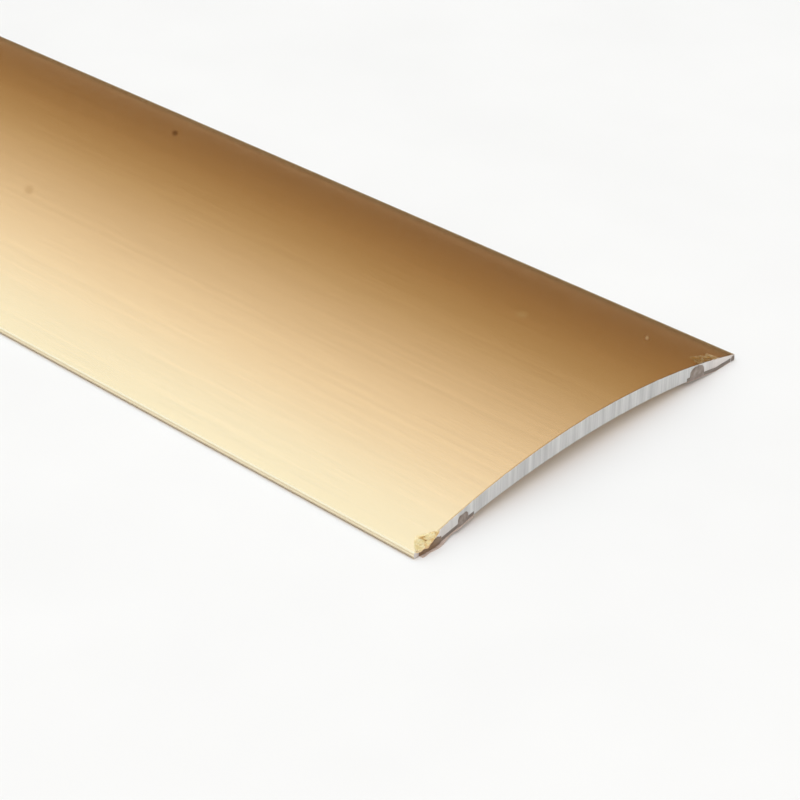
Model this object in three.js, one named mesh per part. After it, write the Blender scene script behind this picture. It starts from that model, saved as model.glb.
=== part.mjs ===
// Self-adhesive threshold strip: a wide, low-arched cover profile of gold anodised aluminium that
// bridges the joint between two floor coverings in a doorway. Millimetres, +Z up.
//
// X runs along the strip, Y across it and Z upwards. The origin is at the middle of the strip, in the
// plane of the release liners that the strip lies on. "Front" is the -Y edge and "rear" the +Y edge.
//
// Every piece is one cross-section in the YZ plane drawn out along the full length, because the
// profile is extruded and the tapes, liners and film are laid on it and cut with it. Each section is
// worked out for the rear side and mirrored for the front one.

import * as THREE from "three";

// Driving dimensions of the extruded profile
const LENGTH = 900;
const WIDTH = 80;
const CROWN_HEIGHT = 6.4; // top of the arch above the feet
const EDGE_HEIGHT = 0.85; // where the top arc would meet the side of the nose, above the feet
const NOSE_RADIUS = 0.25; // rounding between the top arc and the nose's side
const HEEL_RADIUS = 0.2; // rounding between the nose's side and the foot
const FOOT_WIDTH = 5.3; // flat foot along each edge
const HOLLOW_HEIGHT = 3.2; // top of the hollow under the arch, above the feet

// Tape recess under each edge, with the tape and its liner in it
const RECESS_SETBACK = 1.2; // from the strip's edge to the recess
const RECESS_WIDTH = 12.2;
const RECESS_DEPTH = 0.6;
const TAPE_WIDTH = 12;
const TAPE_THICKNESS = 0.62;
const LINER_THICKNESS = 0.1;
const BOND_GAP = 0.03; // free space between two pieces that are stuck together

// Protective film over the visible face
const FILM_THICKNESS = 0.08;
const FILM_LIP = 0.45; // how far above the feet the film's edges end on the noses

// Steps along each round stretch
const CROWN_STEPS = 48; // from a nose to the middle of the crown
const HOLLOW_STEPS = 36; // from a recess to the middle of the hollow
const RECESS_STEPS = 10; // along the part of a recess that follows the hollow
const CORNER_STEPS = 6;

// Derived places
const HALF_WIDTH = WIDTH / 2;
const TAPE_TOP = RECESS_DEPTH - BOND_GAP; // these heights are counted from the underside's surface
const TAPE_BOTTOM = TAPE_TOP - TAPE_THICKNESS;
const LINER_TOP = TAPE_BOTTOM - BOND_GAP;
const LINER_BOTTOM = LINER_TOP - LINER_THICKNESS;
const FOOT_Z = -LINER_BOTTOM; // the strip lies on its liners, so its feet stand clear of the floor
const FOOT_INNER = HALF_WIDTH - FOOT_WIDTH;
const RECESS_OUTER = HALF_WIDTH - RECESS_SETBACK;
const RECESS_INNER = RECESS_OUTER - RECESS_WIDTH;
const TAPE_OUTER = RECESS_OUTER - (RECESS_WIDTH - TAPE_WIDTH) / 2;
const TAPE_INNER = TAPE_OUTER - TAPE_WIDTH;

// Radius of an arc from its half chord and its rise.
const arcRadius = (halfChord, rise) => (halfChord ** 2 + rise ** 2) / (2 * rise);

const CROWN_RADIUS = arcRadius(HALF_WIDTH, CROWN_HEIGHT - EDGE_HEIGHT);
const CROWN_CENTRE_Z = FOOT_Z + CROWN_HEIGHT - CROWN_RADIUS;
const HOLLOW_RADIUS = arcRadius(FOOT_INNER, HOLLOW_HEIGHT);
const HOLLOW_CENTRE_Z = FOOT_Z + HOLLOW_HEIGHT - HOLLOW_RADIUS;

const finish = (color, roughness, metalness, extra = {}) =>
  new THREE.MeshStandardMaterial({ color, roughness, metalness, ...extra });

const GOLD_ANODISED = finish(0xc9a063, 0.35, 1);
const TAPE_FOAM = finish(0x7d7068, 0.9, 0);
const LINER_PAPER = finish(0xc9b3a6, 0.8, 0);
const CLEAR_FILM = finish(0xf4f4f0, 0.15, 0, { transparent: true, opacity: 0.12 });

// Numbers evenly spaced from first to last, both included.
function spaced(first, last, steps) {
  return Array.from({ length: steps + 1 }, (_, i) => first + ((last - first) * i) / steps);
}

// Points on an arc about (y, z), from one angle to another.
function arcPoints(y, z, radius, from, to, steps) {
  return spaced(from, to, steps).map(
    (a) => new THREE.Vector2(y + radius * Math.cos(a), z + radius * Math.sin(a)),
  );
}

// The same points on the other side of the strip, in the order that keeps an outline going on.
const mirrored = (points) => points.map((p) => new THREE.Vector2(-p.x, p.y)).reverse();

// Height of the profile's underside, leaving the recesses out: a flat foot, then the hollow's arc.
function undersideZ(y) {
  return y >= FOOT_INNER ? FOOT_Z : HOLLOW_CENTRE_Z + Math.sqrt(HOLLOW_RADIUS ** 2 - y ** 2);
}

// Points along the underside at the given places across the strip, raised by a height above it.
const alongUnderside = (places, raise) =>
  places.map((y) => new THREE.Vector2(y, undersideZ(y) + raise));

// Places across a taped edge: short steps along the hollow, then one over the flat foot.
const acrossTape = (inner, outer) => [...spaced(inner, FOOT_INNER, RECESS_STEPS), outer];

// The visible contour pushed out by an offset: up the rear nose and over to the middle of the crown.
function crownHalf(offset) {
  const noseY = HALF_WIDTH - NOSE_RADIUS;
  const noseZ = CROWN_CENTRE_Z + Math.sqrt((CROWN_RADIUS - NOSE_RADIUS) ** 2 - noseY ** 2);
  const tangent = Math.atan2(noseZ - CROWN_CENTRE_Z, noseY);
  const nose = arcPoints(noseY, noseZ, NOSE_RADIUS + offset, 0, tangent, CORNER_STEPS);
  const crown = arcPoints(0, CROWN_CENTRE_Z, CROWN_RADIUS + offset, tangent, Math.PI / 2, CROWN_STEPS);
  return [...nose, ...crown.slice(1)];
}

// The profile's section. Its rear half goes from the middle of the hollow, by the recess, the heel and
// the nose, to the middle of the crown.
function profileSection() {
  const heelY = HALF_WIDTH - HEEL_RADIUS;
  const half = [
    ...alongUnderside(spaced(0, RECESS_INNER, HOLLOW_STEPS), 0),
    ...alongUnderside(acrossTape(RECESS_INNER, RECESS_OUTER), RECESS_DEPTH),
    new THREE.Vector2(RECESS_OUTER, FOOT_Z),
    ...arcPoints(heelY, FOOT_Z + HEEL_RADIUS, HEEL_RADIUS, 1.5 * Math.PI, 2 * Math.PI, CORNER_STEPS),
    ...crownHalf(0),
  ];
  return [...half, ...mirrored(half).slice(1, -1)];
}

// A flat layer in the rear recess, as wide as the tape, between two heights above the underside.
function layerSection(bottom, top) {
  const places = acrossTape(TAPE_INNER, TAPE_OUTER);
  return [...alongUnderside(places, bottom), ...alongUnderside(places, top).reverse()];
}

// The film follows the crown and ends in a short lip down the side of each nose.
function filmSection() {
  const outside = BOND_GAP + FILM_THICKNESS;
  const lip = FOOT_Z + FILM_LIP;
  const outer = [new THREE.Vector2(HALF_WIDTH + outside, lip), ...crownHalf(outside)];
  const inner = [new THREE.Vector2(HALF_WIDTH + BOND_GAP, lip), ...crownHalf(BOND_GAP)];
  return [...outer, ...mirrored(outer).slice(1), ...[...inner, ...mirrored(inner).slice(1)].reverse()];
}

// A section's own x, y and drawing direction become the strip's Y, Z and X.
const SECTION_TO_STRIP = new THREE.Matrix4().makeBasis(
  new THREE.Vector3(0, 1, 0),
  new THREE.Vector3(0, 0, 1),
  new THREE.Vector3(1, 0, 0),
);

// One named piece: its section drawn out over the whole length.
function drawnPiece(name, section, material) {
  const shape = new THREE.Shape(section);
  const geometry = new THREE.ExtrudeGeometry(shape, { depth: LENGTH, steps: 1, bevelEnabled: false });
  geometry.applyMatrix4(SECTION_TO_STRIP);
  const mesh = new THREE.Mesh(geometry, material);
  mesh.name = name;
  mesh.position.x = -LENGTH / 2;
  return mesh;
}

const tape = layerSection(TAPE_BOTTOM, TAPE_TOP);
const liner = layerSection(LINER_BOTTOM, LINER_TOP);

const strip = new THREE.Group();
strip.name = "threshold_strip";
strip.add(
  drawnPiece("cover_profile", profileSection(), GOLD_ANODISED),
  drawnPiece("adhesive_tape_rear", tape, TAPE_FOAM),
  drawnPiece("adhesive_tape_front", mirrored(tape), TAPE_FOAM),
  drawnPiece("release_liner_rear", liner, LINER_PAPER),
  drawnPiece("release_liner_front", mirrored(liner), LINER_PAPER),
  drawnPiece("protective_film", filmSection(), CLEAR_FILM),
);

export default strip;
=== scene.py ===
import math

import bmesh
import bpy
import numpy as np
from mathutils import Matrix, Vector, noise


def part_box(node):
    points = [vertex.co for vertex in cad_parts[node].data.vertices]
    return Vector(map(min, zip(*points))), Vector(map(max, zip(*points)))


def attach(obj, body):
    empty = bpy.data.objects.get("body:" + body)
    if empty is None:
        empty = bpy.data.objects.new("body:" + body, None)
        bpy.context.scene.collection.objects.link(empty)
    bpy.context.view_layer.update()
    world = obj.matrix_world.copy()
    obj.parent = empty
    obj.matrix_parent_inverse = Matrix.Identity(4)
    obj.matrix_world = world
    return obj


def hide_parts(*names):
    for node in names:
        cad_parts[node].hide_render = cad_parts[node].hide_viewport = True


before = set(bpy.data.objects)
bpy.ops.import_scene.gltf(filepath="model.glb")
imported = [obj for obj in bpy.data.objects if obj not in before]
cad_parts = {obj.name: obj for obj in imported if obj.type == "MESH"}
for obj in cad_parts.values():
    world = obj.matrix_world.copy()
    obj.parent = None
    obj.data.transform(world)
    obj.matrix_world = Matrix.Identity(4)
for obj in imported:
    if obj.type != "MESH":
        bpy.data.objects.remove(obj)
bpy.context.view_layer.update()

# The looks of the threshold strip: the gold anodised cover profile with its saw-cut ends, the adhesive
# tapes and release liners under its edges and the protective film over its face. Metres, in the
# frame's own axes: X along the strip, Y from its front edge to its rear one, Z up.

MM = 0.001

# The section's details that the frame's boxes don't give
EDGE_HEIGHT = 0.85 * MM
NOSE_RADIUS = 0.25 * MM
HEEL_RADIUS = 0.2 * MM
FOOT_WIDTH = 5.3 * MM
HOLLOW_HEIGHT = 3.2 * MM
RECESS_DEPTH = 0.6 * MM
RECESS_SETBACK = 1.2 * MM
RECESS_WIDTH = 12.2 * MM
TAPE_THICKNESS = 0.62 * MM
LINER_THICKNESS = 0.1 * MM
FILM_THICKNESS = 0.08 * MM
FILM_GAP = 0.03 * MM
FILM_LIP = 0.45 * MM

# Steps of the meshes
CORNER_STEPS = 8
ARCH_STEP = 0.8 * MM
TAPE_STEP = 0.2 * MM
CUT_STEP = 0.25 * MM

# The frame
profile_low, profile_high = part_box("cover_profile")
tape_low, tape_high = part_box("adhesive_tape_rear")
liner_low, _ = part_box("release_liner_rear")
END_X = profile_high.x
HALF_WIDTH = profile_high.y
FOOT_Z = profile_low.z
CROWN_Z = profile_high.z
CROWN_HEIGHT = CROWN_Z - FOOT_Z
FOOT_INNER = HALF_WIDTH - FOOT_WIDTH
RECESS_OUTER = HALF_WIDTH - RECESS_SETBACK
RECESS_INNER = RECESS_OUTER - RECESS_WIDTH


# ---------------------------------------------------------------- the section

def arc_radius(half_chord, rise):
    return (half_chord**2 + rise**2) / (2 * rise)


CROWN_RADIUS = arc_radius(HALF_WIDTH, CROWN_HEIGHT - EDGE_HEIGHT)
CROWN_CENTRE_Z = CROWN_Z - CROWN_RADIUS
HOLLOW_RADIUS = arc_radius(FOOT_INNER, HOLLOW_HEIGHT)
HOLLOW_CENTRE_Z = FOOT_Z + HOLLOW_HEIGHT - HOLLOW_RADIUS


def crown_z(y):
    """Height of the top arc."""
    return CROWN_CENTRE_Z + np.sqrt(CROWN_RADIUS**2 - np.square(y))


def underside_z(y):
    """Height of the underside without its recesses: a flat foot, then the hollow's arc."""
    y = np.minimum(np.abs(y), FOOT_INNER)
    return HOLLOW_CENTRE_Z + np.sqrt(HOLLOW_RADIUS**2 - y**2)


def arc(y, z, radius, start, stop, steps):
    """Points on an arc about (y, z), from one angle to another."""
    angles = np.linspace(start, stop, steps + 1)
    return np.stack([y + radius * np.cos(angles), z + radius * np.sin(angles)], axis=1)


def spaced(start, stop, step):
    """Numbers from start to stop about a step apart, both ends included."""
    return np.linspace(start, stop, max(2, round(abs(stop - start) / step) + 1))


def line(y, z):
    return np.stack([y, np.broadcast_to(z, np.shape(y))], axis=1)


def both_sides(half):
    """A line from the middle to the rear edge becomes one from the front edge to the rear one."""
    return np.concatenate([half[:0:-1] * [-1, 1], half])


def nose_arc(offset, steps):
    """The rounding between the crown and the nose's side, from the crown downwards."""
    y = HALF_WIDTH - NOSE_RADIUS
    z = CROWN_CENTRE_Z + math.sqrt((CROWN_RADIUS - NOSE_RADIUS) ** 2 - y**2)
    return arc(y, z, NOSE_RADIUS + offset, math.atan2(z - CROWN_CENTRE_Z, y), 0, steps)


def profile_lines():
    """The profile's underside and top side, point for point, from the front nose to the rear one."""
    wall = 0.03 * MM
    hollow = spaced(0, RECESS_INNER, ARCH_STEP)
    recess = np.concatenate(
        [spaced(RECESS_INNER, FOOT_INNER, TAPE_STEP), spaced(FOOT_INNER, RECESS_OUTER, TAPE_STEP)[1:]]
    )
    side = [[HALF_WIDTH, FOOT_Z + (HEEL_RADIUS + EDGE_HEIGHT - NOSE_RADIUS) / 2]]
    heel_y = HALF_WIDTH - HEEL_RADIUS
    heel = arc(heel_y, FOOT_Z + HEEL_RADIUS, HEEL_RADIUS, -math.pi / 2, 0, CORNER_STEPS)
    lower = np.concatenate(
        [
            line(hollow, underside_z(hollow)),
            line(recess, underside_z(recess) + RECESS_DEPTH),
            line([RECESS_OUTER], FOOT_Z),
            heel,
            side,
        ]
    )
    above = np.concatenate([hollow[:-1], [RECESS_INNER - wall], recess[:-1], [RECESS_OUTER - wall]])
    above = np.append(above, RECESS_OUTER + wall)
    upper = np.concatenate([line(above, crown_z(above)), nose_arc(0, CORNER_STEPS), side])
    return both_sides(lower), both_sides(upper)


# ---------------------------------------------------------------- mesh helpers

def stations(end, fine, fine_length):
    """Places along the strip: close together near both ends, far apart between them."""
    near = np.arange(0, fine_length, fine)
    far = fine_length * 1.6 ** np.arange(0, 20)
    inwards = np.concatenate([near, far[far < end], [end]])
    return np.concatenate([-end + inwards, end - inwards[-2::-1]])


def grid_quads(ids):
    """The quads of a grid of vertex numbers."""
    a, b, c, d = ids[:-1, :-1], ids[1:, :-1], ids[1:, 1:], ids[:-1, 1:]
    return np.stack([a, b, c, d], axis=-1).reshape(-1, 4)


def closed_body(name, grids, materials, slots, sharp=35):
    """A closed shaded body from grids of points that meet at their borders, each with its material."""
    points = np.concatenate([grid.reshape(-1, 3) for grid in grids])
    quads, quad_slots, count = [], [], 0
    for grid, slot in zip(grids, slots):
        rows, columns = grid.shape[:2]
        ids = count + np.arange(rows * columns).reshape(rows, columns)
        quads.append(grid_quads(ids))
        quad_slots.append(np.full((rows - 1) * (columns - 1), slot))
        count += rows * columns
    mesh = bpy.data.meshes.new(name)
    mesh.from_pydata(points.tolist(), [], np.concatenate(quads).tolist())
    mesh.polygons.foreach_set("material_index", np.concatenate(quad_slots))
    work = bmesh.new()
    work.from_mesh(mesh)
    bmesh.ops.remove_doubles(work, verts=work.verts, dist=1e-7)
    bmesh.ops.recalc_face_normals(work, faces=work.faces)
    work.to_mesh(mesh)
    work.free()
    for material in materials:
        mesh.materials.append(material)
    mesh.shade_smooth()
    mesh.set_sharp_from_angle(angle=math.radians(sharp))
    obj = bpy.data.objects.new(name, mesh)
    bpy.context.scene.collection.objects.link(obj)
    return obj


def between(first, second, rows=1):
    """The grids of the body between two sheets of points: both sheets and the four walls."""
    share = np.linspace(0, 1, rows + 1)[:, None, None]
    walls = []
    for side in (np.s_[0], np.s_[-1], np.s_[:, 0], np.s_[:, -1]):
        walls.append(first[side] * (1 - share) + second[side] * share)
    return [first, second, *walls]


def drawn(line_points, xs):
    """A sheet: a line across the section drawn out along X."""
    sheet = np.empty((len(xs), len(line_points), 3))
    sheet[:, :, 0] = xs[:, None]
    sheet[:, :, 1:] = line_points
    return sheet


def slab(name, lower, upper, xs, rows, materials, shape=None):
    """A closed body between two lines across the section, drawn out along X. Its end faces have the
    last of the materials, and shape moves all its points."""
    grids = between(drawn(lower, xs), drawn(upper, xs), rows)
    if shape is not None:
        grids = [shape(grid.reshape(-1, 3)).reshape(grid.shape) for grid in grids]
    cut = len(materials) - 1
    return closed_body(name, grids, materials, [0, 0, cut, cut, 0, 0])


def wander(points, size, seed):
    """Smooth noise from -1 to 1 at each point, with features of a given size (one number or three)."""
    scaled = np.asarray(points) / size + seed * 7.31
    return np.array([noise.noise(Vector(p)) for p in scaled])


def wander_grid(values, size, seed):
    """The same noise for a grid of lengths."""
    points = np.stack([values.ravel(), np.zeros(values.size), np.zeros(values.size)], axis=1)
    return wander(points, size, seed).reshape(values.shape)


def ease(low, high, value):
    """0 below low, 1 above high, and smooth between them."""
    t = np.clip((value - low) / (high - low), 0, 1)
    return t * t * (3 - 2 * t)


# ---------------------------------------------------------------- materials

def new_material(name):
    """A material with its node tree and its Principled shader."""
    material = bpy.data.materials.new(name)
    material.use_nodes = True
    tree = material.node_tree
    return material, tree, tree.nodes["Principled BSDF"]


def node(tree, kind, inputs=None, **settings):
    """A shader node. An input is a number, a colour or another node's output."""
    made = tree.nodes.new(kind)
    for key, value in settings.items():
        setattr(made, key, value)
    for key, value in (inputs or {}).items():
        if isinstance(value, bpy.types.NodeSocket):
            tree.links.new(value, made.inputs[key])
        else:
            made.inputs[key].default_value = value
    return made


def place(tree):
    """The point's place in the frame, in metres."""
    return node(tree, "ShaderNodeTexCoord").outputs["Object"]


def coordinate(tree, axis):
    """The point's place along one axis of the frame."""
    return node(tree, "ShaderNodeSeparateXYZ", {0: place(tree)}).outputs[axis]


def from_middle(tree, axis):
    """How far the point is from the strip's middle, along one axis."""
    return math_node(tree, "ABSOLUTE", coordinate(tree, axis))


def stretched_noise(tree, per_metre, detail=3, roughness=0.55):
    """Noise with its own number of features in a metre along X, Y and Z."""
    scaled = node(tree, "ShaderNodeVectorMath", {0: place(tree), 1: per_metre}, operation="MULTIPLY")
    texture = node(
        tree,
        "ShaderNodeTexNoise",
        {"Vector": scaled.outputs[0], "Scale": 1, "Detail": detail, "Roughness": roughness},
    )
    return texture.outputs[0]


def rescaled(tree, value, low, high, out_low, out_high):
    """Carries low..high to out_low..out_high, held at the ends."""
    limits = {"Value": value, 1: low, 2: high, 3: out_low, 4: out_high}
    return node(tree, "ShaderNodeMapRange", limits).outputs[0]


def math_node(tree, operation, a, b=0.0, c=0.0):
    return node(tree, "ShaderNodeMath", {0: a, 1: b, 2: c}, operation=operation).outputs[0]


def blended(tree, share, a, b):
    """A value that goes from a, at share 0, to b, at share 1."""
    return node(tree, "ShaderNodeMix", {0: share, 2: a, 3: b}).outputs[0]


def tinted(tree, value, dark, light):
    """A colour from dark at 0 to light at 1."""
    mix = node(tree, "ShaderNodeMix", {0: value}, data_type="RGBA")
    mix.inputs["A"].default_value = (*dark, 1)
    mix.inputs["B"].default_value = (*light, 1)
    return mix.outputs["Result"]


def covered(tree, share, colour, cover):
    """A colour with another one over it, where the share is 1."""
    mix = node(tree, "ShaderNodeMix", {0: share}, data_type="RGBA")
    tree.links.new(colour, mix.inputs["A"])
    mix.inputs["B"].default_value = (*cover, 1)
    return mix.outputs["Result"]


def shaded(colour, factor):
    return tuple(min(1.0, channel * factor) for channel in colour)


def set_bump(tree, shader, height, distance, strength=1.0):
    bump = node(tree, "ShaderNodeBump", {"Height": height, "Distance": distance, "Strength": strength})
    tree.links.new(bump.outputs[0], shader.inputs["Normal"])


def spot(tree, centre, half_size, turn):
    """1 at a point on the strip, falling to 0 at an ellipsoid round it, turned some degrees about Z."""
    offset = node(tree, "ShaderNodeVectorMath", {0: place(tree), 1: centre}, operation="SUBTRACT")
    inputs = {"Vector": offset.outputs[0], "Angle": -math.radians(turn)}
    turned = node(tree, "ShaderNodeVectorRotate", inputs, rotation_type="Z_AXIS")
    scaled = node(tree, "ShaderNodeVectorMath", {0: turned.outputs[0], 1: half_size}, operation="DIVIDE")
    length = node(tree, "ShaderNodeVectorMath", {0: scaled.outputs[0]}, operation="LENGTH")
    return rescaled(tree, length.outputs["Value"], 0.35, 1.0, 1.0, 0.0)


GOLD = (0.95, 0.72, 0.44)
# Painted shade on the rear edge
REAR_EDGE_SHADE = shaded(GOLD, 0.66)
# Painted highlight on the front nose
NOSE_HIGHLIGHT = (1.0, 0.90, 0.67)
# Painted shade low on both noses
NOSE_LOW_SHADE = (0.58, 0.51, 0.39)
# Painted shade along the edges of the cuts
CUT_EDGE_SHADE = (0.56, 0.37, 0.20)
# Darker spots on the face
DARK_SPOT = (0.46, 0.26, 0.08)
FAINT_DARK_SPOT = (0.84, 0.61, 0.35)
NICK = (1.0, 0.84, 0.60)
FAINT_NICK = (1.0, 0.84, 0.58)

# Marks on the face: place, half length, half width and height, degrees turned from the strip's
# length, colour and added roughness
BLEMISHES = (
    ((END_X - 129.4 * MM, 29.8 * MM, CROWN_Z - 3.1 * MM), (2.4 * MM, 0.72 * MM, 2 * MM), -44, DARK_SPOT, 0),
    ((END_X - 126.7 * MM, -9.1 * MM, CROWN_Z - 0.3 * MM), (2.3 * MM, 1.1 * MM, 2 * MM), -36, FAINT_DARK_SPOT, 0),
    ((END_X - 30.6 * MM, 20.1 * MM, CROWN_Z - 1.4 * MM), (2.0 * MM, 1.3 * MM, 2 * MM), -61, FAINT_NICK, 0),
    ((END_X - 12.0 * MM, 31.0 * MM, CROWN_Z - 3.3 * MM), (1.1 * MM, 0.35 * MM, 2 * MM), -56, NICK, 0.14),
)


def gold_anodised():
    """Satin gold anodising: die lines along the strip and faint cloudiness. Painted shade darkens the
    edges of the cuts and the rear edge, a painted highlight brightens the front nose, which is also
    rougher, painted shade greys both noses low down, and the face has its blemishes."""
    material, tree, shader = new_material("gold_anodised")
    die_lines = stretched_noise(tree, (9, 900, 900), detail=2)
    hairlines = stretched_noise(tree, (90, 2400, 2400), detail=2)
    clouds = stretched_noise(tree, (14, 50, 50), detail=2)
    lines = blended(tree, 0.5, die_lines, hairlines)
    tone = rescaled(tree, blended(tree, 0.25, lines, clouds), 0.36, 0.64, 0, 1)
    colour = tinted(tree, tone, shaded(GOLD, 0.97), shaded(GOLD, 1.03))
    # Painted shade: the gold darkens over the last 0.3 mm before each cut.
    painted_shade = rescaled(tree, from_middle(tree, "X"), END_X - 0.30 * MM, END_X - 0.08 * MM, 0, 0.75)
    colour = covered(tree, painted_shade, colour, CUT_EDGE_SHADE)
    y = coordinate(tree, "Y")
    # Painted shade: the gold darkens towards the rear edge.
    rear_shade = rescaled(tree, y, HALF_WIDTH - 3 * MM, HALF_WIDTH - 1 * MM, 0, 1)
    colour = covered(tree, rear_shade, colour, REAR_EDGE_SHADE)
    # Painted highlight: a paler gold along the front nose, which is also rougher.
    front_nose = rescaled(tree, y, 0.15 * MM - HALF_WIDTH, 0.45 * MM - HALF_WIDTH, 1, 0)
    colour = covered(tree, front_nose, colour, NOSE_HIGHLIGHT)
    # Painted shade: both noses are greyer low down.
    noses = rescaled(tree, from_middle(tree, "Y"), HALF_WIDTH - 0.25 * MM, HALF_WIDTH - 0.1 * MM, 0, 1)
    low = rescaled(tree, coordinate(tree, "Z"), FOOT_Z + 0.30 * MM, FOOT_Z + 0.42 * MM, 1, 0)
    colour = covered(tree, math_node(tree, "MULTIPLY", noses, low), colour, NOSE_LOW_SHADE)
    roughness = rescaled(tree, lines, 0.3, 0.7, 0.23, 0.26)
    roughness = math_node(tree, "MULTIPLY_ADD", front_nose, 0.25, roughness)
    for centre, half_size, turn, mark, dulling in BLEMISHES:
        share = spot(tree, centre, half_size, turn)
        colour = covered(tree, share, colour, mark)
        roughness = math_node(tree, "MULTIPLY_ADD", share, dulling, roughness)
    tree.links.new(colour, shader.inputs["Base Color"])
    tree.links.new(roughness, shader.inputs["Roughness"])
    set_bump(tree, shader, lines, 0.001 * MM)
    shader.inputs["Metallic"].default_value = 1.0
    shader.inputs["Specular Tint"].default_value = (1.0, 0.86, 0.62, 1)
    return material


def sawn_aluminium():
    """Bare metal on the saw-cut ends: upright saw marks of uneven width and tone, and a painted sheen,
    lighter and warmer, where the metal thins towards both edges."""
    material, tree, shader = new_material("sawn_aluminium")
    broad = stretched_noise(tree, (0, 500, 30), detail=2)
    fine = stretched_noise(tree, (0, 3000, 120), detail=3)
    marks = blended(tree, 0.4, broad, fine)
    colour = tinted(tree, rescaled(tree, marks, 0.3, 0.7, 0, 1), (0.47, 0.47, 0.47), (0.76, 0.76, 0.75))
    # Painted sheen: the cut face is lighter and warmer towards both edges.
    painted_sheen = rescaled(tree, from_middle(tree, "Y"), RECESS_INNER + 2 * MM, RECESS_OUTER - 4 * MM, 0, 0.6)
    colour = covered(tree, painted_sheen, colour, (0.84, 0.77, 0.73))
    tree.links.new(colour, shader.inputs["Base Color"])
    tree.links.new(rescaled(tree, marks, 0.3, 0.7, 0.5, 0.36), shader.inputs["Roughness"])
    set_bump(tree, shader, marks, 0.02 * MM)
    shader.inputs["Metallic"].default_value = 1.0
    return material


def tape_foam():
    """Brown-grey closed-cell foam with a tacky skin."""
    material, tree, shader = new_material("tape_foam")
    cells = stretched_noise(tree, (5000, 5000, 5000), detail=3)
    colour = tinted(tree, rescaled(tree, cells, 0.3, 0.7, 0, 1), (0.13, 0.105, 0.09), (0.28, 0.24, 0.21))
    tree.links.new(colour, shader.inputs["Base Color"])
    tree.links.new(rescaled(tree, cells, 0.3, 0.7, 0.55, 0.8), shader.inputs["Roughness"])
    set_bump(tree, shader, cells, 0.05 * MM)
    return material


def dragged_adhesive():
    """The tape's adhesive where the saw smeared it: brown, with grey metal dust in it, and a painted
    reflection of the gold in shade: darker red-brown towards the strip's edges.
    """
    material, tree, shader = new_material("dragged_adhesive")
    patches = stretched_noise(tree, (700, 700, 700), detail=4)
    share = rescaled(tree, patches, 0.36, 0.64, 0, 1)
    colour = tinted(tree, share, (0.14, 0.095, 0.075), (0.34, 0.295, 0.26))
    # Painted reflection of the gold in shade: darker red-brown towards the strip's edges.
    painted_shade = rescaled(tree, from_middle(tree, "Y"), HALF_WIDTH - 7 * MM, HALF_WIDTH - 4 * MM, 0, 0.8)
    colour = covered(tree, painted_shade, colour, (0.20, 0.105, 0.040))
    tree.links.new(colour, shader.inputs["Base Color"])
    tree.links.new(rescaled(tree, patches, 0.3, 0.7, 0.35, 0.65), shader.inputs["Roughness"])
    set_bump(tree, shader, patches, 0.08 * MM)
    return material


def liner_paper():
    """Siliconised kraft paper: fibres and a low sheen."""
    material, tree, shader = new_material("liner_paper")
    fibres = stretched_noise(tree, (900, 2600, 2600), detail=5, roughness=0.7)
    colour = tinted(tree, rescaled(tree, fibres, 0.3, 0.7, 0, 1), (0.46, 0.36, 0.31), (0.66, 0.54, 0.48))
    tree.links.new(colour, shader.inputs["Base Color"])
    tree.links.new(rescaled(tree, fibres, 0.3, 0.7, 0.42, 0.6), shader.inputs["Roughness"])
    set_bump(tree, shader, fibres, 0.01 * MM)
    return material


def clear_film():
    """Thin clear polyethylene: hardly there but for its gloss."""
    material, tree, shader = new_material("clear_film")
    ripples = stretched_noise(tree, (25, 140, 140), detail=2)
    set_bump(tree, shader, ripples, 0.05 * MM)
    shader.inputs["Base Color"].default_value = (0.12, 0.12, 0.11, 1)
    shader.inputs["Roughness"].default_value = 0.12
    shader.inputs["Alpha"].default_value = 0.045
    return material


def crumpled_film(name, alpha):
    """The same film where it is crushed into creases over the gold: painted gold and metallic, for the
    gold glinting through it, lighter and darker in patches as painted glints and shade.
    """
    material, tree, shader = new_material(name)
    creases = stretched_noise(tree, (1300, 1300, 1300), detail=1)
    # Painted glints and shade: gold, lighter and darker in patches.
    colour = tinted(tree, rescaled(tree, creases, 0.35, 0.65, 0, 1), (0.86, 0.62, 0.27), (0.99, 0.80, 0.45))
    tree.links.new(colour, shader.inputs["Base Color"])
    tree.links.new(rescaled(tree, creases, 0.3, 0.7, 0.16, 0.34), shader.inputs["Roughness"])
    set_bump(tree, shader, creases, 0.01 * MM)
    shader.inputs["Metallic"].default_value = 0.85
    shader.inputs["Alpha"].default_value = alpha
    return material


# ---------------------------------------------------------------- pieces

def saw_marks(points, seed):
    """How far the saw left the cut standing proud at each point: upright marks, curved with the blade."""
    blade_radius = 125 * MM
    swept = points[:, 1] + np.square(points[:, 2] - CROWN_Z) / (2 * blade_radius)
    marks = np.stack([swept, np.full(len(swept), 0.4), points[:, 2] * 0.02], axis=1)
    coarse = wander(marks, (0.9 * MM, 1, 1), seed)
    fine = wander(marks, (0.3 * MM, 1, 1), seed + 1)
    return 0.02 * MM * coarse + 0.01 * MM * fine


def cut_ends(points):
    """Gives both saw cuts their marks, and chips the edge between each cut and the face."""
    moved = points.copy()
    below_face = crown_z(points[:, 1]) - points[:, 2]
    for seed, end in enumerate((1, -1)):
        at_end = np.isclose(points[:, 0], end * END_X, atol=1e-9)
        moved[at_end, 0] += end * saw_marks(points[at_end], seed)
        at_edge = at_end & (below_face < 0.02 * MM)
        chips = wander(points[at_edge], 0.8 * MM, seed + 5)
        moved[at_edge, 0] -= end * 0.12 * MM * ease(0.3, 0.6, chips)
    return moved


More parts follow.
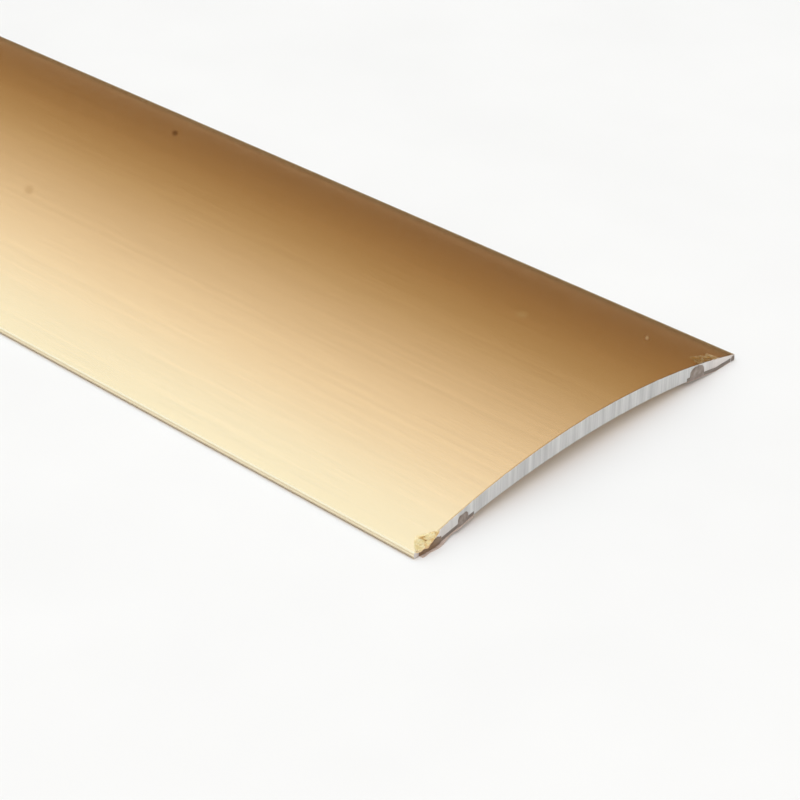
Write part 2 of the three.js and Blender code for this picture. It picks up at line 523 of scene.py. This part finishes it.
def ragged(reach, wave, seed, torn_reach=0):
    """A shape for a layer: its ends stand out past the cuts by a reach, uneven by a wave, and by more
    at each cut's torn corner."""

    def shape(points):
        moved = points.copy()
        for end in (1, -1):
            at_end = np.isclose(points[:, 0], end * END_X, atol=1e-9)
            along_cut = points[at_end] * [1, 1, 0]
            torn = ease(HALF_WIDTH - 8 * MM, HALF_WIDTH - 5 * MM, -end * points[at_end, 1])
            uneven = wave * wander(along_cut, 1.4 * MM, seed + end)
            moved[at_end, 0] += end * (reach + torn_reach * torn + uneven)
        return moved

    return shape


def make_profile(gold, sawn):
    lower, upper = profile_lines()
    xs = stations(END_X, CUT_STEP, 5 * MM)
    piece = slab("profile_shell", lower, upper, xs, 8, [gold, sawn], cut_ends)
    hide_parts("cover_profile")
    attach(piece, "strip")
    return piece


def make_layer(cad_node, sign, low, thickness, material, body, shape):
    """A tape or its liner: a band that follows the underside across one edge, between two heights."""
    places = spaced(tape_low.y, tape_high.y, TAPE_STEP)
    bottom = underside_z(places) - (FOOT_Z - low)
    half_lower, half_upper = line(places, bottom), line(places, bottom + thickness)
    xs = stations(END_X, CUT_STEP, 3 * MM)
    flip = [sign, 1]
    piece = slab(f"{cad_node}_visual", half_lower * flip, half_upper * flip, xs, 3, [material], shape)
    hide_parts(cad_node)
    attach(piece, body)
    return piece


def make_film(material):
    places = spaced(0, HALF_WIDTH - NOSE_RADIUS, ARCH_STEP)[:-1]

    def over(offset):
        top = crown_z(places) + offset
        lip = [[HALF_WIDTH + offset, FOOT_Z + FILM_LIP]]
        return both_sides(np.concatenate([line(places, top), nose_arc(offset, CORNER_STEPS), lip]))

    xs = stations(END_X, CUT_STEP, 3 * MM)
    shape = ragged(-0.05 * MM, 0.08 * MM, 31)
    piece = slab("film_visual", over(FILM_GAP), over(FILM_GAP + FILM_THICKNESS), xs, 1, [material], shape)
    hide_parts("protective_film")
    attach(piece, "film")
    return piece


# What the saw left at the corners of each cut. Places are counted outwards from the cut and inwards
# from the strip's edge.

def at_corner(end, side, outward, inset, z):
    return np.stack([end * (END_X + outward), side * (HALF_WIDTH - inset), z], axis=-1)


def face_z(inset):
    return crown_z(HALF_WIDTH - inset)


def swell(share, power=0.5):
    """0 at both ends of a share from 0 to 1, and 1 in its middle."""
    return np.sin(math.pi * np.clip(share, 0, 1)) ** power


def corner_grid(span, columns, rows):
    """A patch of a corner: shares across it and away from its first row, and each point's inset."""
    across = np.linspace(0, 1, columns)[None, :]
    away = np.linspace(0, 1, rows)[:, None]
    first, last = span
    return across, away, first + (last - first) * across + 0 * away


def make_burr(name, end, side, span, reach, droop, material, seed):
    """A lip of face metal that the saw drew out over the cut, hanging down at its outer edge."""
    root = 0.12 * MM
    thickness = 0.12 * MM
    across, out, inset = corner_grid(span, 36, 9)
    uneven = 1 + 0.5 * wander_grid(inset, 0.9 * MM, seed)
    past = reach * swell(across) * uneven
    outward = -root + (root + past) * out
    hang = np.clip(outward, 0, None) / reach
    z = face_z(inset) - 0.02 * MM - droop * hang**1.4
    top = at_corner(end, side, outward, inset, z)
    wall = thickness * (1 - 0.6 * out) * np.ones_like(inset)
    under = at_corner(end, side, outward - 0.02 * MM, inset, z - wall)
    piece = closed_body(name, between(under, top), [material], [0] * 6)
    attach(piece, "strip")
    return piece


def make_crumple(name, end, side, span, depth, outline, reach, droop, height, material, seed):
    """The film's corner, crushed into flat creases, partly over the cut's edge. The outline gives how
    far in from the cut it goes at each share across it, in shares of its depth."""
    jitter_size = 0.18 * MM
    film_top = FILM_GAP + FILM_THICKNESS + 0.01 * MM
    random = np.random.default_rng(seed)
    across, out, inset = corner_grid(span, 11, 6)
    inner = -depth * np.interp(across, *outline)
    outer = reach * swell(across)
    outward = inner + (outer - inner) * out
    jitter = swell(across) * swell(out, 1.0)
    inset = inset + jitter_size * jitter * random.uniform(-1, 1, inset.shape)
    outward = outward + jitter_size * jitter * random.uniform(-1, 1, inset.shape)
    creases = random.uniform(0, 1, inset.shape) ** 1.5
    hang = np.clip(outward, 0, None) / max(reach, 0.1 * MM)
    lift = height * creases * swell(across, 0.7) * swell(0.25 + 0.6 * out)
    z = face_z(inset) + film_top + lift - droop * hang**1.3
    top = at_corner(end, side, outward, inset, z)
    under = at_corner(end, side, outward, inset, z - 0.03 * MM)
    piece = closed_body(name, between(under, top), [material], [0] * 6, sharp=8)
    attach(piece, "film")
    return piece


def make_smear(name, end, side, span, shares, thickness, material, seed):
    """Tape adhesive that the saw dragged up over the cut, as high as a share of the metal there, which
    goes from the first share to the last one across it."""
    root = 0.06 * MM
    across, up, inset = corner_grid(span, 30, 16)
    bottom = underside_z(HALF_WIDTH - inset) - 0.03 * MM
    share = shares[0] + (shares[1] - shares[0]) * across
    uneven = 0.16 * wander_grid(inset, 0.5 * MM, seed)[:1]
    share = np.clip(share * swell(across, 0.2) + uneven, 0.02, 0.98)
    z = bottom + (face_z(inset) - bottom) * share * up
    lumps = 1 + 0.5 * wander_grid(inset + 3 * z, 0.6 * MM, seed + 1)
    inset = inset + 0.15 * MM * (1 - swell(across)) * wander_grid(z, 0.5 * MM, seed + 2)
    proud = thickness * swell(across, 0.4) * swell(0.2 + 0.8 * up, 0.4) * lumps
    outer = at_corner(end, side, proud, inset, z)
    inner = at_corner(end, side, np.full_like(proud, -root), inset, z)
    piece = closed_body(name, between(inner, outer), [material], [0] * 6)
    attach(piece, "strip")
    return piece


# ---------------------------------------------------------------- stage, light and camera

def make_stage():
    """A plain pale floor."""
    material, tree, shader = new_material("floor")
    grain = stretched_noise(tree, (30, 30, 30), detail=2)
    colour = tinted(tree, rescaled(tree, grain, 0.3, 0.7, 0, 1), (0.86, 0.86, 0.86), (0.88, 0.88, 0.88))
    tree.links.new(colour, shader.inputs["Base Color"])
    shader.inputs["Roughness"].default_value = 0.9
    half = 20.0
    corners = np.array([[[-half, -half, 0], [half, -half, 0]], [[-half, half, 0], [half, half, 0]]])
    floor = closed_body("floor", [corners], [material], [0])


# The studio's light at each angle from straight up, in quarter turns: -1 is the horizon in front of
# the strip and 1 the one behind it
DOME = (
    (-1.00, (0.95, 0.93, 0.90)),
    (-0.92, (0.72, 0.66, 0.58)),
    (-0.80, (0.42, 0.32, 0.20)),
    (-0.65, (0.52, 0.39, 0.22)),
    (-0.50, (0.79, 0.68, 0.54)),
    (-0.34, (1.12, 1.07, 1.00)),
    (-0.20, (1.20, 1.41, 1.58)),
    (0.20, (1.20, 1.41, 1.58)),
    (0.34, (1.12, 1.07, 1.00)),
    (0.50, (0.79, 0.68, 0.54)),
    (0.65, (0.50, 0.36, 0.17)),
    (0.80, (0.31, 0.17, 0.05)),
    (0.92, (0.150, 0.060, 0.008)),
    (1.00, (0.115, 0.045, 0.006)),
)


def make_world():
    """A studio lit by long softboxes that run along the strip: cool and bright overhead, warmer and
    dimmer lower down, and pale again at the front horizon. The camera sees a plain backdrop."""
    world = bpy.data.worlds.new("studio")
    bpy.context.scene.world = world
    world.use_nodes = True
    tree = world.node_tree
    tree.nodes.clear()
    direction = node(tree, "ShaderNodeTexCoord").outputs["Generated"]
    parts = node(tree, "ShaderNodeSeparateXYZ", {0: direction}).outputs
    angle = math_node(tree, "ARCTAN2", parts["Y"], parts["Z"])
    ramp = node(tree, "ShaderNodeValToRGB", {"Fac": math_node(tree, "MULTIPLY_ADD", angle, 1 / math.pi, 0.5)})
    stops = ramp.color_ramp.elements
    for number, (quarter_turns, colour) in enumerate(DOME):
        stop = stops[number] if number < 2 else stops.new(1)
        stop.position, stop.color = (quarter_turns + 1) / 2, (*colour, 1)
    dome = node(tree, "ShaderNodeBackground", {"Color": ramp.outputs["Color"], "Strength": 1.0})
    backdrop = node(tree, "ShaderNodeBackground", {"Color": (0.93, 0.93, 0.93, 1), "Strength": 1.0})
    seen = node(tree, "ShaderNodeLightPath").outputs["Is Camera Ray"]
    mix = node(tree, "ShaderNodeMixShader", {0: seen, 1: dome.outputs[0], 2: backdrop.outputs[0]})
    out = node(tree, "ShaderNodeOutputWorld")
    tree.links.new(mix.outputs[0], out.inputs["Surface"])


def make_softbox(name, place_at, aim, size, power, colour):
    light = bpy.data.lights.new(name, "AREA")
    light.shape = "SQUARE"
    light.size = size
    light.energy = power
    light.color = colour
    obj = bpy.data.objects.new(name, light)
    bpy.context.scene.collection.objects.link(obj)
    obj.location = place_at
    obj.rotation_euler = (Vector(aim) - Vector(place_at)).to_track_quat("-Z", "Y").to_euler()


def make_camera():
    """The camera looks down on the cut end from its front corner. Its place is counted from that
    corner of the profile, in strip widths."""
    azimuth, elevation = math.radians(43.213), math.radians(31.882)
    back = Vector((2.50079, -2.69919, 2.64064)) * 2 * HALF_WIDTH
    camera = bpy.data.objects.new("camera", bpy.data.cameras.new("camera"))
    bpy.context.scene.collection.objects.link(camera)
    camera.location = Vector((END_X, -HALF_WIDTH, 0)) + back
    camera.rotation_euler = (math.pi / 2 - elevation, 0, azimuth)
    camera.data.sensor_width = 36
    camera.data.lens = 108.86
    camera.data.clip_start = 0.01
    camera.data.clip_end = 100
    bpy.context.scene.camera = camera


make_camera()
gold = gold_anodised()
sawn = sawn_aluminium()
foam = tape_foam()
adhesive = dragged_adhesive()
paper = liner_paper()
film = clear_film()
torn_film = crumpled_film("torn_film", 0.5)
scuffed_film = crumpled_film("scuffed_film", 0.35)

make_profile(gold, sawn)
make_film(film)

# The saw left the front liner standing out of the cut and the rear one nearly flush with it
LINER_ENDS = (("front", -1, 0.22 * MM, 0.4 * MM), ("rear", 1, 0.04 * MM, 0.1 * MM))
for seed, (side, sign, reach, torn_reach) in enumerate(LINER_ENDS):
    make_layer(
        f"adhesive_tape_{side}", sign, tape_low.z, TAPE_THICKNESS, foam, "strip",
        ragged(0.02 * MM, 0.08 * MM, 11 + seed)
    )
    make_layer(
        f"release_liner_{side}", sign, liner_low.z, LINER_THICKNESS, paper, f"{side}_liner",
        ragged(reach, reach, 21 + seed, torn_reach)
    )

# The cut's two corners are worn differently, and the far cut is the near one turned half round
TORN_CORNER = ((0, 0.1, 0.35, 0.5, 0.78, 1), (0, 0.5, 1, 0.9, 0.4, 0))
SCUFFED_CORNER = ((0, 0.1, 0.3, 0.4, 0.62, 0.78, 0.9, 1), (0, 0.8, 0.55, 0.8, 0.75, 1, 0.5, 0))
for end, cut in ((1, "near"), (-1, "far")):
    seed = 40 + end
    torn_side, scuffed_side = -end, end
    make_burr(
        f"{cut}_burr_a", end, torn_side, span=(0.35 * MM, 5.7 * MM),
        reach=0.50 * MM, droop=0.45 * MM, material=gold, seed=seed
    )
    make_crumple(
        f"{cut}_film_crumple_a", end, torn_side, span=(0.6 * MM, 5.5 * MM), depth=2.0 * MM,
        outline=TORN_CORNER, reach=0.50 * MM, droop=0.40 * MM, height=0.30 * MM,
        material=torn_film, seed=seed + 1
    )
    make_smear(
        f"{cut}_smear_a", end, torn_side, span=(1.1 * MM, 6.2 * MM), shares=(0.78, 0.66),
        thickness=0.30 * MM, material=adhesive, seed=seed + 2
    )
    make_smear(
        f"{cut}_smear_b", end, torn_side, span=(9.8 * MM, 12.2 * MM), shares=(0.74, 0.70),
        thickness=0.16 * MM, material=adhesive, seed=seed + 3
    )
    make_smear(
        f"{cut}_smear_c", end, scuffed_side, span=(8.6 * MM, 12.6 * MM), shares=(0.97, 0.90),
        thickness=0.12 * MM, material=adhesive, seed=seed + 4
    )
    make_crumple(
        f"{cut}_film_crumple_b", end, scuffed_side, span=(4.6 * MM, 10.4 * MM), depth=3.0 * MM,
        outline=SCUFFED_CORNER, reach=0.05 * MM, droop=0.05 * MM, height=0.16 * MM,
        material=scuffed_film, seed=seed + 5
    )
    make_smear(
        f"{cut}_smear_d", end, scuffed_side, span=(0.15 * MM, 1.0 * MM), shares=(0.9, 0.6),
        thickness=0.15 * MM, material=foam, seed=seed + 6
    )

make_stage()
make_world()
make_softbox("key", (1.6, -1.7, 2.6), (0.2, 0, 0), 2.2, 24, (1.0, 0.80, 0.72))

bpy.context.scene.view_settings.view_transform = "Standard"
